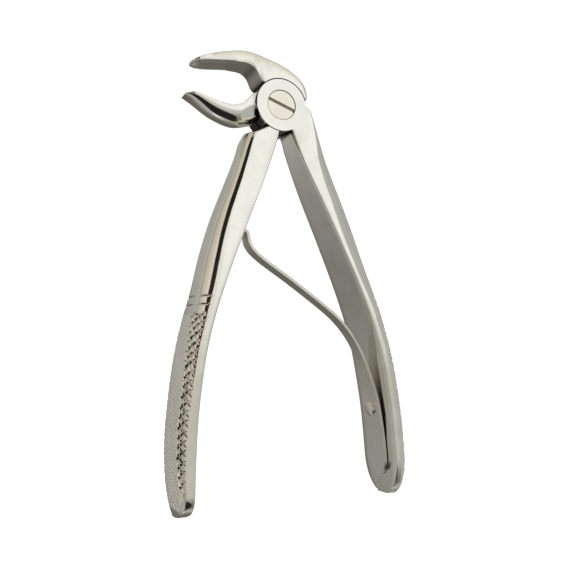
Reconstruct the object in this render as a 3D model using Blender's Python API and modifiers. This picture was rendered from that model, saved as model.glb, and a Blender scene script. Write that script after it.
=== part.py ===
"""Extraction forceps with a leaf spring: two lapped halves on a slotted pivot screw.

The frame: the joint axis is +Z, +Y points to the beaks and +X to the right handle.
The back face of the joint lies on z = 0, and the pivot axis passes through x = y = 0.
All sizes below are in millimetres, and become metres when a mesh is made.
"""

import math

import bmesh
import bpy
from mathutils import Vector

MM = 0.001

# The lap joint
JOINT_THICKNESS = 8.9
BOSS_RADIUS = 7.2
BOSS_GAP = 0.35
LAYER_GAP = 0.3
ROUND_SEGMENTS = 56

# The pivot screw
HEAD_RADIUS = 4.1
HEAD_THICKNESS = 1.8
HEAD_SINK = 0.1
SHANK_RADIUS = 2.4
SCREW_CLEARANCE = 0.06
HEAD_CLEARANCE = 0.12
SEAT_GAP = 0.3
SLOT_WIDTH = 1.1
SLOT_DEPTH = 0.9
SLOT_ANGLE = -19.0

# The handles
HANDLE_LENGTH = 106.9
HANDLE_OFFSET = 1.21
HANDLE_TURN = 1.65
GRIP_WIDTH = 17.4
GRIP_START = 72.0
OPEN_END_ROUND = 6.0
SHUT_END_ROUND = 11.0
END_POWER = 2.2

# The leaf spring and its rivet
SPRING_THICKNESS = 0.9
SPRING_ROOT_WIDTH = 8.4
SPRING_ARM_WIDTH = 4.2
TAPER_START = 15.0
TAPER_END = 38.0
FLEX_PLACE = 31.8
FLEX_GAP = 0.3
RIVET_PLACE = 18.4
RIVET_HEAD_RADIUS = 2.1
RIVET_HEAD_HEIGHT = 0.9
RIVET_SHANK_RADIUS = 1.2
RIVET_DEPTH = 2.4
RIVET_CLEARANCE = 0.05

# The hollow in the right handle that the closing spring folds into
RECESS_START = 50.0
RECESS_END = 88.0
RECESS_DEPTH = 0.9
RECESS_WIDTH = 10.4

MID_PLANE = JOINT_THICKNESS / 2
CUT_RADIUS = BOSS_RADIUS + BOSS_GAP

STEEL = (0.78, 0.77, 0.74, 1.0)
SPRING_STEEL = (0.70, 0.70, 0.67, 1.0)


def smooth(points, x):
    """The value at x of a smooth curve through (x, value) points in rising x."""
    if x <= points[0][0]:
        return points[0][1]
    if x >= points[-1][0]:
        return points[-1][1]
    k = max(i for i, p in enumerate(points) if p[0] <= x)

    def slope(i):
        low = max(i - 1, 0)
        high = min(i + 1, len(points) - 1)
        return (points[high][1] - points[low][1]) / (points[high][0] - points[low][0])

    (x0, y0), (x1, y1) = points[k], points[k + 1]
    span = x1 - x0
    f = (x - x0) / span
    first = (1 + 2 * f) * (1 - f) ** 2 * y0 + f * (1 - f) ** 2 * span * slope(k)
    second = f * f * (3 - 2 * f) * y1 + f * f * (f - 1) * span * slope(k + 1)
    return first + second


def new_collection(name):
    collection = bpy.data.collections.new(name)
    bpy.context.scene.collection.children.link(collection)
    return collection


def clear_scene():
    for item in list(bpy.data.objects):
        bpy.data.objects.remove(item)


def steel(name, colour, roughness):
    material = bpy.data.materials.new(name)
    material.use_nodes = True
    shader = material.node_tree.nodes["Principled BSDF"]
    shader.inputs["Base Color"].default_value = colour
    shader.inputs["Metallic"].default_value = 1.0
    shader.inputs["Roughness"].default_value = roughness
    return material


def mesh_object(name, bm, collection, material=None):
    bmesh.ops.remove_doubles(bm, verts=bm.verts, dist=1e-6)
    bmesh.ops.recalc_face_normals(bm, faces=bm.faces)
    mesh = bpy.data.meshes.new(name)
    bm.to_mesh(mesh)
    bm.free()
    item = bpy.data.objects.new(name, mesh)
    collection.objects.link(item)
    if material:
        mesh.materials.append(material)
        mesh.shade_smooth()
        mesh.set_sharp_from_angle(angle=math.radians(30))
    return item


def loft(name, rings, collection, material=None):
    """A closed skin over rings that have the same number of points, in millimetres."""
    bm = bmesh.new()
    rows = [[bm.verts.new(Vector(point) * MM) for point in ring] for ring in rings]
    count = len(rings[0])
    for low, high in zip(rows, rows[1:]):
        for i in range(count):
            j = (i + 1) % count
            bm.faces.new((low[i], low[j], high[j], high[i]))
    bm.faces.new(rows[0])
    bm.faces.new(rows[-1])
    return mesh_object(name, bm, collection, material)


def cylinder(name, radius, bottom, top, collection, material=None, place=(0, 0)):
    bm = bmesh.new()
    bmesh.ops.create_cone(
        bm,
        cap_ends=True,
        segments=ROUND_SEGMENTS,
        radius1=radius * MM,
        radius2=radius * MM,
        depth=(top - bottom) * MM,
    )
    middle = Vector((place[0], place[1], (top + bottom) / 2)) * MM
    bmesh.ops.translate(bm, verts=bm.verts, vec=middle)
    return mesh_object(name, bm, collection, material)


def hide_tool(tool):
    tool.hide_render = True
    tool.display_type = "WIRE"


def combine(target, tool, operation):
    """Cuts the tool from the target, or joins it on."""
    hide_tool(tool)
    modifier = target.modifiers.new(tool.name, "BOOLEAN")
    modifier.operation = operation
    modifier.solver = "EXACT"
    modifier.object = tool


def d_section(base, tip, front_side, back_side, low, high, power, curve_points=7):
    """A ring with a flat inner face at base, flat sides and a bulged outer face to tip.

    base and tip are (x, y), the sides are flat for front_side and back_side, and the
    section reaches from z = low to z = high.
    """
    base = Vector(base)
    reach = Vector(tip) - base
    height = reach.length
    out = reach / height
    middle = (low + high) / 2
    half = (high - low) / 2
    ring = []

    def put(z, distance):
        ring.append((base.x + out.x * distance, base.y + out.y * distance, z))

    put(low, 0)
    put(high, 0)
    for i in range(curve_points):
        turn = math.pi / 2 * i / curve_points
        side = min(front_side, height * 0.97)
        bulge = math.sin(turn) ** (2 / power)
        put(middle + half * math.cos(turn) ** (2 / power), side + (height - side) * bulge)
    for i in range(curve_points, -1, -1):
        turn = math.pi / 2 * i / curve_points
        side = min(back_side, height * 0.97)
        bulge = math.sin(turn) ** (2 / power)
        put(middle - half * math.cos(turn) ** (2 / power), side + (height - side) * bulge)
    return ring


# The handles share one plan: the distance of the inner face from the line between
# them, the width, the thickness and the flat sides, all along the handle.
INNER_FACE = ((8, 1.9), (20, 6.75), (35, 13.3), (50, 19.5), (60, 22.98), (70, 25.45), (85, 27.5), (107, 28.7))
WIDTH = ((8, 8.9), (14, 10.1), (24, 12.3), (40, 14.2), (60, 16.3), (GRIP_START, GRIP_WIDTH))
LEFT_THICKNESS = ((12, 9.3), (30, 9.2), (41, 8.2), (51, 6.6), (62, 5.3), (75, 4.8), (92, 4.7), (107, 2.9))
RIGHT_THICKNESS = ((12, 9.3), (24, 9.1), (34, 8.5), (46, 7.2), (60, 6.1), (75, 5.5), (97, 5.3), (107, 4.2))
WIDE_SIDE = ((12, 6.7), (30, 6.5), (37, 5.5), (45, 3.6), (54, 2.1), (107, 2.05))
NARROW_SIDE = ((12, 5.2), (20, 3.6), (30, 2.2), (40, 1.3), (54, 1.6), (66, 2.05), (107, 2.05))
BULGE = ((12, 2.2), (40, 2.2), (56, 3.0), (107, 3.3))


def handle_point(side, distance, out):
    """The plan point at a distance down a handle, out from its inner face."""
    x = side * (smooth(INNER_FACE, distance) + out) + HANDLE_OFFSET
    turn = math.radians(HANDLE_TURN)
    y = -distance
    return Vector((x * math.cos(turn) - y * math.sin(turn), x * math.sin(turn) + y * math.cos(turn)))


def handle_stations():
    """Distances down the handle, closer together where it rounds off at the end."""
    straight_end = HANDLE_LENGTH - SHUT_END_ROUND
    start = 14.0
    steps = 22
    body = [start + (straight_end - start) * i / steps for i in range(steps + 1)]
    rounding = [straight_end + SHUT_END_ROUND * math.sin(math.pi / 2 * i / 9) for i in range(1, 9)]
    return body + rounding + [HANDLE_LENGTH - 0.02]


def end_share(distance, rounding):
    """How much of the half width is left at a distance, where the end is rounded off."""
    past = max(0.0, (distance - HANDLE_LENGTH + rounding) / rounding)
    return max(0.08, 1 - past**END_POWER) ** (1 / END_POWER)


def handle_ring(side, distance):
    half = smooth(WIDTH, distance) / 2
    wide, narrow = smooth(WIDE_SIDE, distance), smooth(NARROW_SIDE, distance)
    open_half = half * end_share(distance, OPEN_END_ROUND)
    shut_half = half * end_share(distance, SHUT_END_ROUND)
    base = handle_point(side, distance, 0)
    power = smooth(BULGE, distance)
    if side < 0:
        tip = handle_point(side, distance, smooth(LEFT_THICKNESS, distance))
        return d_section(base, tip, wide, narrow, MID_PLANE - shut_half, MID_PLANE + open_half, power)
    tip = handle_point(side, distance, smooth(RIGHT_THICKNESS, distance))
    return d_section(base, tip, narrow, wide, MID_PLANE - shut_half, MID_PLANE + shut_half, power)


def boss_point(angle, rise):
    """The plan point at an angle about the pivot, a rise outside the boss's rim."""
    turn = math.radians(angle)
    return Vector((math.cos(turn), math.sin(turn))) * (BOSS_RADIUS + rise)


def root_ring(base, tip, flare, power=4.0):
    """A ring of a handle root: as thick as the joint, plus its flare on each face."""
    height = (Vector(tip) - Vector(base)).length
    side = height - min(1.5, height * 0.3)
    return d_section(base, tip, side, side, -flare, JOINT_THICKNESS + flare, power)


def left_handle(collection, material=None):
    roots = [
        root_ring(boss_point(-93.8, -0.49), boss_point(-123.0, -0.04), 0),
        root_ring((-0.85, -8.6), (-9.7, -8.7), 0.05),
        root_ring((-1.4, -10.4), (-11.0, -11.2), 0.3),
    ]
    rings = roots + [handle_ring(-1, t) for t in handle_stations()]
    return loft("rear_half", rings, collection, material)


def right_handle(collection, material=None):
    roots = [
        root_ring(boss_point(-63.8, -0.63), boss_point(10.4, 0.83), 0),
        root_ring((3.4, -7.0), (9.7, 0.1), 0),
        root_ring((4.0, -8.8), (11.6, -4.3), 0.05),
        root_ring((4.6, -10.6), (13.2, -8.6), 0.3),
    ]
    rings = roots + [handle_ring(1, t) for t in handle_stations()]
    return loft("front_half", rings, collection, material)


def hook_ring(angle, wall):
    """A ring across the hook that runs over the joint's boss, as thick as its wall."""
    base = boss_point(angle, -0.5)
    tip = boss_point(angle, wall)
    side = (tip - base).length - 1.3
    return d_section(base, tip, side, side, 0, JOINT_THICKNESS, 2.0)


def beak_ring(base, tip, low, high, side_share, power):
    height = (Vector(tip) - Vector(base)).length
    side = height * side_share
    return d_section(base, tip, side, side, low, high, power)


def upper_beak(collection):
    top = JOINT_THICKNESS
    hook = ((19, 1.5), (22, 2.1), (28, 2.6), (38, 3.0), (50, 3.45), (62, 3.7), (74, 4.05), (86, 4.7), (98, 5.6))
    rings = [hook_ring(angle, wall) for angle, wall in hook]
    rings += [
        beak_ring((-5.3, 5.2), (-4.9, 13.5), 0.0, top, 0.84, 2.0),
        beak_ring((-6.0, 6.4), (-6.3, 13.75), 0.1, top, 0.84, 2.0),
        beak_ring((-6.5, 7.8), (-7.5, 13.95), 0.3, top - 0.05, 0.84, 2.0),
        beak_ring((-7.2, 9.0), (-8.7, 14.1), 0.6, top - 0.1, 0.83, 2.0),
        beak_ring((-8.3, 9.8), (-10.0, 14.15), 0.9, top - 0.15, 0.82, 2.0),
        beak_ring((-9.6, 10.2), (-11.4, 14.1), 1.1, top - 0.2, 0.80, 2.0),
        beak_ring((-11.2, 10.25), (-12.8, 13.9), 1.2, top - 0.25, 0.78, 2.0),
        beak_ring((-13.2, 10.15), (-14.5, 13.5), 1.2, top - 0.3, 0.76, 2.0),
        beak_ring((-16.0, 9.85), (-17.0, 12.9), 1.0, top - 0.35, 0.74, 2.0),
        beak_ring((-18.85, 9.5), (-19.6, 12.0), 0.9, top - 0.35, 0.72, 2.0),
        beak_ring((-21.3, 9.15), (-21.9, 11.05), 1.1, top - 0.4, 0.70, 2.0),
        beak_ring((-23.1, 8.85), (-23.5, 10.2), 1.9, top - 0.5, 0.66, 2.0),
        beak_ring((-24.4, 8.55), (-24.7, 9.5), 3.2, top - 0.9, 0.6, 2.0),
        beak_ring((-24.95, 8.4), (-25.1, 8.95), 4.6, top - 1.8, 0.55, 2.0),
    ]
    return loft("upper_beak", rings, collection)


def lower_beak(collection):
    top = JOINT_THICKNESS
    rings = [
        beak_ring((-5.6, 2.9), (-5.6, -4.4), 0.0, top - 0.7, 0.40, 2.0),
        beak_ring((-6.6, 2.9), (-6.4, -5.0), 0.0, top - 0.7, 0.36, 2.0),
        beak_ring((-7.6, 2.6), (-8.0, -5.7), 0.05, top - 0.6, 0.32, 2.0),
        beak_ring((-8.6, 1.7), (-9.4, -6.1), 0.1, top - 0.5, 0.30, 2.0),
        beak_ring((-10.0, 0.0), (-10.8, -6.5), 0.2, top - 0.4, 0.28, 2.0),
        beak_ring((-11.7, -1.3), (-12.6, -6.75), 0.3, top - 0.4, 0.27, 2.0),
        beak_ring((-14.6, -1.5), (-15.4, -6.2), 0.5, top - 0.45, 0.28, 2.0),
        beak_ring((-18.7, -0.8), (-19.6, -4.6), 0.8, top - 0.55, 0.28, 2.0),
        beak_ring((-22.9, 0.4), (-23.7, -1.9), 1.2, top - 0.75, 0.28, 2.0),
        beak_ring((-25.0, 0.6), (-25.6, -0.8), 1.8, top - 1.0, 0.30, 2.0),
        beak_ring((-26.3, 0.25), (-26.7, -0.35), 2.8, top - 2.0, 0.30, 2.0),
    ]
    return loft("lower_beak", rings, collection)


SPRING_POINTS = (
    (31.72, -100.9),
    (30.95, -91.5),
    (30.0, -85.0),
    (29.1, -79.0),
    (28.0, -74.0),
    (26.6, -69.6),
    (25.0, -66.2),
    (22.6, -62.4),
    (19.4, -58.7),
    (15.6, -55.5),
    (4.6, -47.9),
    (-3.4, -42.8),
    (-6.6, -40.3),
    (-8.1, -38.2),
    (-8.5, -36.4),
    (-8.8, -35.4),
    (-9.4, -34.85),
    (-10.1, -34.75),
)


def spring_plan():
    """The leaf spring's middle line: x and y against the distance from its root."""
    distance = 0.0
    xs, ys = [], []
    previous = Vector(SPRING_POINTS[0])
    for point in SPRING_POINTS:
        distance += (Vector(point) - previous).length
        previous = Vector(point)
        xs.append((distance, point[0]))
        ys.append((distance, point[1]))
    return xs, ys, distance


SPRING_X, SPRING_Y, SPRING_LENGTH = spring_plan()


def spring_point(distance):
    return Vector((smooth(SPRING_X, distance), smooth(SPRING_Y, distance)))


def spring_normal(distance):
    """The plan direction square to the spring, towards the left handle."""
    along = spring_point(distance + 0.2) - spring_point(distance - 0.2)
    return Vector((-along.y, along.x)).normalized()


def spring_half_width(distance):
    share = min(1.0, max(0.0, (distance - TAPER_START) / (TAPER_END - TAPER_START)))
    taper = share * share * (3 - 2 * share)
    half = (SPRING_ROOT_WIDTH + (SPRING_ARM_WIDTH - SPRING_ROOT_WIDTH) * taper) / 2
    if distance < half:
        half *= math.sqrt(max(0.04, 1 - (1 - distance / half) ** 2))
    return half


def spring_strip(name, start, end, steps, collection, material):
    rings = []
    for i in range(steps + 1):
        distance = start + (end - start) * i / steps
        place = spring_point(distance)
        across = spring_normal(distance) * SPRING_THICKNESS / 2
        half = spring_half_width(distance)
        near, far = place + across, place - across
        rings.append(
            [
                (near.x, near.y, MID_PLANE - half),
                (near.x, near.y, MID_PLANE + half),
                (far.x, far.y, MID_PLANE + half),
                (far.x, far.y, MID_PLANE - half),
            ]
        )
    return loft(name, rings, collection, material)


def turned(name, profile, collection, material):
    """A turned piece about Z from (radius, z) points that run down its outer side."""
    bm = bmesh.new()
    corners = [bm.verts.new((radius * MM, 0, z * MM)) for radius, z in profile]
    for first, second in zip(corners, corners[1:]):
        bm.edges.new((first, second))
    item = mesh_object(name, bm, collection, material)
    screw = item.modifiers.new("turn", "SCREW")
    screw.steps = ROUND_SEGMENTS
    screw.render_steps = ROUND_SEGMENTS
    screw.use_merge_vertices = True
    screw.merge_threshold = 0.000001
    screw.use_smooth_shade = True
    return item


def pivot_screw(cutters, parts, material):
    top = JOINT_THICKNESS - HEAD_SINK
    head_bottom = top - HEAD_THICKNESS
    chamfer = 0.15
    profile = [
        (0, top),
        (HEAD_RADIUS - chamfer, top),
        (HEAD_RADIUS, top - chamfer),
        (HEAD_RADIUS, head_bottom),
        (SHANK_RADIUS, head_bottom),
        (SHANK_RADIUS, 0),
        (0, 0),
    ]
    screw = turned("pivot_screw", profile, parts, material)
    length = 3 * HEAD_RADIUS
    bm = bmesh.new()
    bmesh.ops.create_cube(bm, size=1)
    bmesh.ops.scale(bm, verts=bm.verts, vec=Vector((length, SLOT_WIDTH, 2 * SLOT_DEPTH)) * MM)
    slot = mesh_object("screw_slot", bm, cutters)
    slot.location = Vector((0, 0, top)) * MM
    slot.rotation_euler.z = math.radians(SLOT_ANGLE)
    combine(screw, slot, "DIFFERENCE")
    return screw


def plate(name, outline, bottom, top, collection):
    """A flat outline with a thickness, as a mesh that can cut or join."""
    curve = bpy.data.curves.new(name, "CURVE")
    curve.dimensions = "2D"
    curve.fill_mode = "BOTH"
    curve.extrude = (top - bottom) / 2 * MM
    spline = curve.splines.new("POLY")
    spline.points.add(len(outline) - 1)
    for point, corner in zip(spline.points, outline):
        point.co = (corner[0] * MM, corner[1] * MM, 0, 1)
    spline.use_cyclic_u = True
    drawn = bpy.data.objects.new(name + "_outline", curve)
    drawn.location.z = (top + bottom) / 2 * MM
    collection.objects.link(drawn)
    bpy.context.view_layer.update()
    shape = bpy.data.meshes.new_from_object(drawn.evaluated_get(bpy.context.evaluated_depsgraph_get()))
    bm = bmesh.new()
    bm.from_mesh(shape)
    bmesh.ops.transform(bm, matrix=drawn.matrix_world, verts=bm.verts)
    bpy.data.objects.remove(drawn)
    return mesh_object(name, bm, collection)


def recess(collection):
    """The shallow hollow along the right handle's inner face, deepest in its middle."""
    steps = 14
    floor, mouth = [], []
    for i in range(steps + 1):
        share = i / steps
        place = RECESS_START + (RECESS_END - RECESS_START) * share
        depth = RECESS_DEPTH * math.sin(math.pi * share) ** 0.7
        floor.append(handle_point(1, place, depth))
        mouth.append(handle_point(1, place, -1.5))
    half = RECESS_WIDTH / 2
    return plate("spring_recess", floor + mouth[::-1], MID_PLANE - half, MID_PLANE + half, collection)


def place_on_spring(item, distance, rise):
    """Puts an item's Z axis along the spring's normal, its zero a rise above the middle."""
    normal = spring_normal(distance)
    place = spring_point(distance) + normal * rise
    item.location = Vector((place.x, place.y, MID_PLANE)) * MM
    item.rotation_euler = Vector((normal.x, normal.y, 0)).to_track_quat("Z", "Y").to_euler()


def rivet(parts, material):
    steps = 6
    head = []
    for i in range(steps + 1):
        turn = math.pi / 2 * i / steps
        head.append((RIVET_HEAD_RADIUS * math.sin(turn), RIVET_HEAD_HEIGHT * math.cos(turn)))
    bottom = -SEAT_GAP - SPRING_THICKNESS - SEAT_GAP - RIVET_DEPTH
    profile = head + [(RIVET_SHANK_RADIUS, 0), (RIVET_SHANK_RADIUS, bottom), (0, bottom)]
    item = turned("spring_rivet", profile, parts, material)
    place_on_spring(item, RIVET_PLACE, SPRING_THICKNESS / 2 + SEAT_GAP)
    return item


def rivet_hole(name, top, bottom, collection):
    """A bore for the rivet's shank, from top to bottom along the spring's normal."""
    bore = cylinder(name, RIVET_SHANK_RADIUS + RIVET_CLEARANCE, bottom, top, collection)
    place_on_spring(bore, RIVET_PLACE, 0)
    return bore


def rear_half(cutters, parts, material):
    """The half with the upper beak, the hook and the left handle, and its boss behind."""
    split = MID_PLANE - LAYER_GAP / 2
    half = left_handle(parts, material)
    combine(half, upper_beak(cutters), "UNION")
    combine(half, cylinder("rear_clearance", CUT_RADIUS, split, 30, cutters), "DIFFERENCE")
    combine(half, cylinder("rear_boss", BOSS_RADIUS, 0, split, cutters), "UNION")
    hole = SHANK_RADIUS + SCREW_CLEARANCE
    combine(half, cylinder("rear_hole", hole, -10, 30, cutters), "DIFFERENCE")
    return half


def front_half(cutters, parts, material):
    """The half with the lower beak and the right handle, and its boss in front."""
    split = MID_PLANE + LAYER_GAP / 2
    half = right_handle(parts, material)
    combine(half, lower_beak(cutters), "UNION")
    combine(half, cylinder("front_clearance", CUT_RADIUS, -20, split, cutters), "DIFFERENCE")
    boss = cylinder("front_boss", BOSS_RADIUS, split, JOINT_THICKNESS, cutters)
    combine(half, boss, "UNION")
    hole = SHANK_RADIUS + SCREW_CLEARANCE
    combine(half, cylinder("front_hole", hole, -10, 30, cutters), "DIFFERENCE")
    head_seat = JOINT_THICKNESS - HEAD_SINK - HEAD_THICKNESS - SEAT_GAP
    bore = cylinder("head_bore", HEAD_RADIUS + HEAD_CLEARANCE, head_seat, 30, cutters)
    combine(half, bore, "DIFFERENCE")
    combine(half, recess(cutters), "DIFFERENCE")
    depth = SPRING_THICKNESS / 2 + SEAT_GAP + RIVET_DEPTH + SEAT_GAP
    combine(half, rivet_hole("rivet_bore", 0, -depth, cutters), "DIFFERENCE")
    return half


def build():
    clear_scene()
    parts = new_collection("extraction_forceps")
    cutters = new_collection("cutters")
    polished = steel("polished_stainless", STEEL, 0.2)
    satin = steel("satin_spring_steel", SPRING_STEEL, 0.35)

    rear_half(cutters, parts, polished)
    front_half(cutters, parts, polished)
    pivot_screw(cutters, parts, polished)

    seat = spring_strip("spring_seat", 0, FLEX_PLACE - FLEX_GAP / 2, 18, parts, satin)
    combine(seat, rivet_hole("seat_bore", 5, -5, cutters), "DIFFERENCE")
    spring_strip("spring_arm", FLEX_PLACE + FLEX_GAP / 2, SPRING_LENGTH, 30, parts, satin)
    rivet(parts, satin)


build()
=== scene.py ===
# %% [markdown]
# # Extraction forceps
# Two steel forgings turn about a slotted screw, and a leaf spring pushes the handles
# apart. The moving frame is loaded first; every finer piece is then built around it in
# millimetres, in the frame's own place, and all but the spring ride on one of its bodies.

# %% Load the frame
import math

import bmesh
import bpy
from mathutils import Matrix, Vector


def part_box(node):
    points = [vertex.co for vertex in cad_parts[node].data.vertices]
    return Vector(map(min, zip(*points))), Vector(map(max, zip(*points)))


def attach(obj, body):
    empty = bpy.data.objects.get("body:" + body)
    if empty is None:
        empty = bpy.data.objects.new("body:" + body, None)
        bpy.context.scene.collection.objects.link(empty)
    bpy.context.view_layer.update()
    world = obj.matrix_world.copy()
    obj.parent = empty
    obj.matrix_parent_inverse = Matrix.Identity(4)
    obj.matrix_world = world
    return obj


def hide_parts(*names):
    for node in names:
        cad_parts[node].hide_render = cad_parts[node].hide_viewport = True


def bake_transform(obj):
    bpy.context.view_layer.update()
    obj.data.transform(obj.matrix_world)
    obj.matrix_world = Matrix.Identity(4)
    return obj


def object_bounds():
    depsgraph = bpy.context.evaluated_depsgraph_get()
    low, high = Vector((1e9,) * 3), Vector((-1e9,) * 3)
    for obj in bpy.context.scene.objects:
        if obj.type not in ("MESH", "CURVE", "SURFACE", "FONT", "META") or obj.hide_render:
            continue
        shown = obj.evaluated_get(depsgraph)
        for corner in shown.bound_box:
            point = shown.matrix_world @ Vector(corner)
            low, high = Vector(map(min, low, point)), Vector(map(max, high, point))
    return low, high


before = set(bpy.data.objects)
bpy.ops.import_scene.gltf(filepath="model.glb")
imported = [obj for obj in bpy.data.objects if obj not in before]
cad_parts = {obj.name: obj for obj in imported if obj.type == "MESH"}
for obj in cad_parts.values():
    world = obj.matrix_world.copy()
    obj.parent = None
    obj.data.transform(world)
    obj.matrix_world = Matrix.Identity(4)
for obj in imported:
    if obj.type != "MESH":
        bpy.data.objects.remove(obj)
frame_box = [list(corner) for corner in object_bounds()]
MM = 0.001
screw_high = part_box("pivot_screw")[1] / MM
half_low, half_high = (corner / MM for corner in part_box("rear_half"))
HEAD_SINK = 0.1
FRONT = screw_high.z + HEAD_SINK
MIDDLE = FRONT / 2
print("joint thickness", round(FRONT, 2), "grip width", round(half_high.z - half_low.z, 2))

# %% [markdown]
# ## Small helpers
# A forging has no straight edges, so its outlines are soft curves through a few points.
# `smooth` reads such a curve at any place, and `ease` is a soft step from 0 to 1.

# %% Helpers for soft curves
def smooth(points, x):
    """The value at x of a soft curve through (x, value) points in rising x."""
    if x <= points[0][0]:
        return points[0][1]
    if x >= points[-1][0]:
        return points[-1][1]
    k = max(i for i, p in enumerate(points) if p[0] <= x)

    def slope(i):
        low = max(i - 1, 0)
        high = min(i + 1, len(points) - 1)
        return (points[high][1] - points[low][1]) / (points[high][0] - points[low][0])

    (x0, y0), (x1, y1) = points[k], points[k + 1]
    span = x1 - x0
    f = (x - x0) / span
    first = (1 + 2 * f) * (1 - f) ** 2 * y0 + f * (1 - f) ** 2 * span * slope(k)
    second = f * f * (3 - 2 * f) * y1 + f * f * (f - 1) * span * slope(k + 1)
    return first + second


def ease(low, high, x):
    """0 below low, 1 above high, and a soft step between."""
    share = min(1.0, max(0.0, (x - low) / (high - low)))
    return share * share * (3 - 2 * share)


print("a quarter of the way, a soft step has risen to", ease(0, 1, 0.25))

# %% [markdown]
# Every piece starts as a bmesh in millimetres. A loft joins rings of points into a closed
# skin, which suits forgings and bent strip. A turned piece is spun from its profile, as on
# a lathe. `combine` joins or cuts two solids, as milling and boring do at the joint.

# %% Helpers for solids
WELD = 1e-4


def raw_object(name, bm):
    """An object from a bmesh, with doubled points joined and its faces turned outwards."""
    bmesh.ops.remove_doubles(bm, verts=bm.verts, dist=WELD)
    bmesh.ops.recalc_face_normals(bm, faces=bm.faces)
    mesh = bpy.data.meshes.new(name)
    bm.to_mesh(mesh)
    bm.free()
    piece = bpy.data.objects.new(name, mesh)
    bpy.context.scene.collection.objects.link(piece)
    return piece


def loft(name, rings):
    """A closed skin over rings that have the same number of points."""
    bm = bmesh.new()
    rows = [[bm.verts.new(point) for point in ring] for ring in rings]
    count = len(rings[0])
    for low, high in zip(rows, rows[1:]):
        for i in range(count):
            j = (i + 1) % count
            bm.faces.new((low[i], low[j], high[j], high[i]))
    bm.faces.new(rows[0])
    bm.faces.new(rows[-1])
    return raw_object(name, bm)


def turned(name, profile, segments=128):
    """A piece turned about Z from (radius, z) points that run down its outer side."""
    bm = bmesh.new()
    corners = [bm.verts.new((radius, 0, z)) for radius, z in profile]
    edges = [bm.edges.new(pair) for pair in zip(corners, corners[1:])]
    bmesh.ops.spin(
        bm,
        geom=corners + edges,
        cent=(0, 0, 0),
        axis=(0, 0, 1),
        steps=segments,
        angle=2 * math.pi,
        use_merge=True,
    )
    return raw_object(name, bm)


def combine(target, tool, operation):
    """Cuts the tool from the target, or joins it on, and removes the tool."""
    modifier = target.modifiers.new("combine", "BOOLEAN")
    modifier.operation = operation
    modifier.solver = "EXACT"
    modifier.object = tool
    depsgraph = bpy.context.evaluated_depsgraph_get()
    result = bpy.data.meshes.new_from_object(target.evaluated_get(depsgraph))
    target.modifiers.remove(modifier)
    target.data = result
    bpy.data.objects.remove(tool)


print("points closer than", WELD, "mm are joined")

# %% [markdown]
# A finished piece is brought to metres, given its steel, and shaded smooth except at
# edges sharper than an angle. It then rides on its body, so it moves as the frame moves.

# %% Helper for a finished piece
SHARP_EDGE = 32.0


def finish_piece(piece, material, body):
    """Gives a piece its scale, steel, shading and body."""
    piece.data.transform(Matrix.Scale(MM, 4))
    piece.data.materials.clear()
    piece.data.materials.append(material)
    piece.data.shade_smooth()
    piece.data.set_sharp_from_angle(angle=math.radians(SHARP_EDGE))
    if body:
        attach(piece, body)
    print(piece.name, len(piece.data.polygons), "faces")
    return piece


print("edges sharper than", SHARP_EDGE, "degrees stay sharp")

# %% [markdown]
# ## Steel finishes
# The forgings are polished to a mirror on a soft wheel, which leaves hair-fine lines and
# a faint waviness. One recipe makes every steel here: a metal whose roughness wanders a
# little, and two bumps, one broad for the waviness and one fine for the wheel's lines.

# %% Helpers for materials
def linear(hex_colour):
    """An sRGB hex colour as linear red, green and blue."""
    values = [int(hex_colour[i : i + 2], 16) / 255 for i in (0, 2, 4)]
    return [v / 12.92 if v <= 0.04045 else ((v + 0.055) / 1.055) ** 2.4 for v in values]


def add_node(tree, kind, links=(), **settings):
    """Adds a node, sets its inputs by name and links (input, source socket) pairs."""
    node = tree.nodes.new(kind)
    for name, value in settings.items():
        if name in node.inputs:
            node.inputs[name].default_value = value
        else:
            setattr(node, name, value)
    for name, source in links:
        tree.links.new(source, node.inputs[name])
    return node


print("mid grey 808080 is", round(linear("808080")[0], 3), "in linear light")

# %% [markdown]
# Shade falls on the inner walls of the lap joint and deep into the throat between the beaks,
# so these places are painted darker than the rest: painted shade. A mask finds them by their
# place on the piece: near the pivot or the throat, and below the front face.

# %% Painted shade in the joint and the throat
# Painted shade: the joint's walls are darkened between these radii from the pivot and these depths below the
# front face, and the throat takes a share of it.
PAINTED_SHADE_RADII = (8.6, 7.5)
PAINTED_SHADE_DEPTHS = (0.15, 1.2)
THROAT = (-6.0, 7.0, 0.0)
THROAT_RADII = (5.0, 2.5)
THROAT_SHARE = 0.55


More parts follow.
